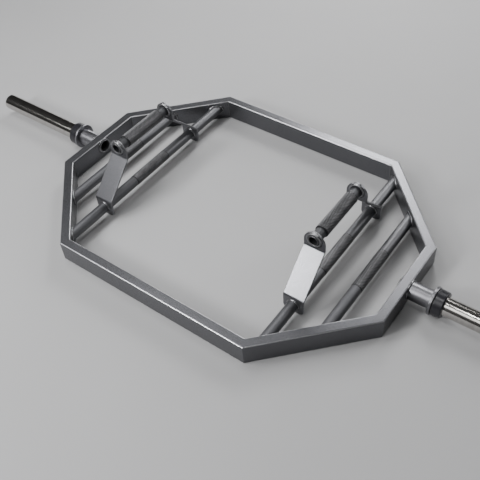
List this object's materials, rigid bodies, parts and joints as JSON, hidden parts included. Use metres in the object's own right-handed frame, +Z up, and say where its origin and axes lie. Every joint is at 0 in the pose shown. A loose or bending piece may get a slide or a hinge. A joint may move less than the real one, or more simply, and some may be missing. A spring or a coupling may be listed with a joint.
{
  "type": "hex trap bar",
  "caption": "Eight-sided welded lifting frame with low and raised knurled grips on each side and a turning plate sleeve on each end, stepped into and lifted by the grips",
  "frame": {"origin": "on the floor, under the middle of the frame", "axes": "+X along the sleeves, +Y across the frame away from the front rail, +Z up"},
  "size_m": [1.94, 0.788, 0.2122],
  "materials": {
    "frame_coat": "satin",
    "tube_coat": "satin",
    "knurled_grip": "satin",
    "stub_steel": "satin",
    "black_nylon": "matte",
    "bright_steel": "satin",
    "sleeve_chrome": "polished",
    "collar_black": "satin",
    "bush_bronze": "satin"
  },
  "bodies": {
    "frame": {"front_rail": "frame_coat", "rear_rail": "frame_coat", "left_end_rail": "frame_coat", "right_end_rail": "frame_coat", "front_left_rail": "frame_coat", "front_right_rail": "frame_coat", "rear_left_rail": "frame_coat", "rear_right_rail": "frame_coat", "left_inner_crossbar": "tube_coat", "left_outer_crossbar": "tube_coat", "left_inner_low_grip": "knurled_grip", "left_outer_low_grip": "knurled_grip", "left_raised_handle": "tube_coat", "left_raised_grip": "knurled_grip", "left_front_bracket": "frame_coat", "left_rear_bracket": "frame_coat", "left_spindle_tube": "tube_coat", "left_stub": "stub_steel", "left_stop_flange": "stub_steel", "left_thrust_washer": "black_nylon", "left_axle": "bright_steel", "left_retaining_washer": "bright_steel", "left_retaining_bolt": "bright_steel", "right_inner_crossbar": "tube_coat", "right_outer_crossbar": "tube_coat", "right_inner_low_grip": "knurled_grip", "right_outer_low_grip": "knurled_grip", "right_raised_handle": "tube_coat", "right_raised_grip": "knurled_grip", "right_front_bracket": "frame_coat", "right_rear_bracket": "frame_coat", "right_spindle_tube": "tube_coat", "right_stub": "stub_steel", "right_stop_flange": "stub_steel", "right_thrust_washer": "black_nylon", "right_axle": "bright_steel", "right_retaining_washer": "bright_steel", "right_retaining_bolt": "bright_steel"},
    "left_plate_sleeve": {"left_sleeve": "sleeve_chrome", "left_collar": "collar_black", "left_inner_bush": "bush_bronze", "left_outer_bush": "bush_bronze", "left_end_cap": "sleeve_chrome"},
    "right_plate_sleeve": {"right_sleeve": "sleeve_chrome", "right_collar": "collar_black", "right_inner_bush": "bush_bronze", "right_outer_bush": "bush_bronze", "right_end_cap": "sleeve_chrome"}
  },
  "joints": [
    {"name": "left_sleeve_spin", "type": "hinge", "parent": "frame", "child": "left_plate_sleeve", "pos_m": [-0.8, 0, 0.039], "axis": [1, 0, 0], "continuous": true},
    {"name": "right_sleeve_spin", "type": "hinge", "parent": "frame", "child": "right_plate_sleeve", "pos_m": [0.8, 0, 0.039], "axis": [1, 0, 0], "continuous": true}
  ]
}
